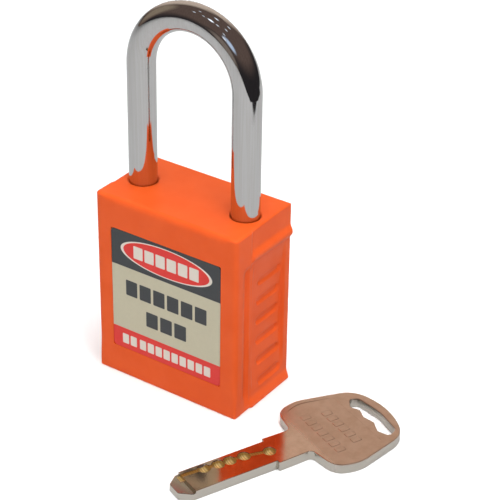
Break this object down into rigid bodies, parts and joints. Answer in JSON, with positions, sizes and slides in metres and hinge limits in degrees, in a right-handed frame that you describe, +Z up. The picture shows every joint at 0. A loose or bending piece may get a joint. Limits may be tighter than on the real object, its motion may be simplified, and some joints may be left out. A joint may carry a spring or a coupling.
{
  "type": "safety padlock",
  "caption": "Lockout padlock: moulded rectangular body with scooped ribbed grips and a label recess, tall round shackle, base keyway, dimple key beside it.",
  "frame": {"origin": "centre of the lock body's flat base", "axes": "+Z up along the shackle legs, +X to the right seen from the front, front label faces -Y"},
  "size_m": [0.0714, 0.0511, 0.0896],
  "materials": {
    "body_nylon": "moulded nylon, fine satin grain",
    "cover_nylon": "moulded nylon, satin",
    "front_print": "printed polyester label, semi-matt",
    "back_print": "printed polyester label, semi-matt",
    "shackle_chrome": "polished chrome plate on hardened steel",
    "key_nickel": "nickel-plated brass, satin, with bare brass cuts",
    "brass": "turned",
    "zinc": "die-cast zinc alloy, tumbled",
    "ball_steel": "ground and polished",
    "spring_steel": "drawn wire and stamped strip",
    "screw_steel": "zinc plated"
  },
  "bodies": {
    "root": {"body_shell": "body_nylon", "base_cover": "cover_nylon", "cover_screws": "screw_steel", "lock_housing": "zinc", "pin_chamber_cover": "brass", "ball_carrier": "zinc", "retaining_pin": "spring_steel", "shackle_spring": "spring_steel", "front_label": "front_print", "back_label": "back_print", "driver_pin_1": "ball_steel", "driver_pin_2": "ball_steel", "driver_pin_3": "ball_steel", "driver_pin_4": "ball_steel", "driver_pin_5": "ball_steel", "pin_spring_1": "spring_steel", "pin_spring_2": "spring_steel", "pin_spring_3": "spring_steel", "pin_spring_4": "spring_steel", "pin_spring_5": "spring_steel"},
    "plug": {"plug": "brass", "plug_clip": "spring_steel", "cam": "zinc", "cam_clip": "spring_steel", "key_pin_1": "brass", "key_pin_2": "brass", "key_pin_3": "brass", "key_pin_4": "brass", "key_pin_5": "brass"},
    "shackle": {"shackle": "shackle_chrome"},
    "heel_ball": {"heel_ball": "ball_steel"},
    "toe_ball": {"toe_ball": "ball_steel"},
    "key": {"key": "key_nickel"}
  },
  "joints": [
    {"name": "plug_turn", "type": "hinge", "parent": "root", "child": "plug", "pos_m": [0, 0, 0], "axis": [0, 0, 1], "range_deg": [0, 90]},
    {"name": "shackle_lift", "type": "slide", "parent": "root", "child": "shackle", "axis": [0, 0, 1], "range_m": [0, 0.0105], "deforming": ["shackle_spring"]},
    {"name": "heel_ball_slide", "type": "slide", "parent": "root", "child": "heel_ball", "axis": [1, 0, 0], "range_m": [0, 0.0034]},
    {"name": "toe_ball_slide", "type": "slide", "parent": "root", "child": "toe_ball", "axis": [-1, 0, 0], "range_m": [0, 0.0034]},
    {"name": "key_lift", "type": "slide", "parent": "root", "child": "key", "axis": [0, 0, 1], "range_m": [0, 0.1]}
  ],
  "couplings": [
    {"joint": "plug_turn", "follows": "shackle_lift", "rad_per_m": 149.6},
    {"joint": "heel_ball_slide", "follows": "shackle_lift", "ratio": 0.3238},
    {"joint": "toe_ball_slide", "follows": "shackle_lift", "ratio": 0.3238}
  ]
}
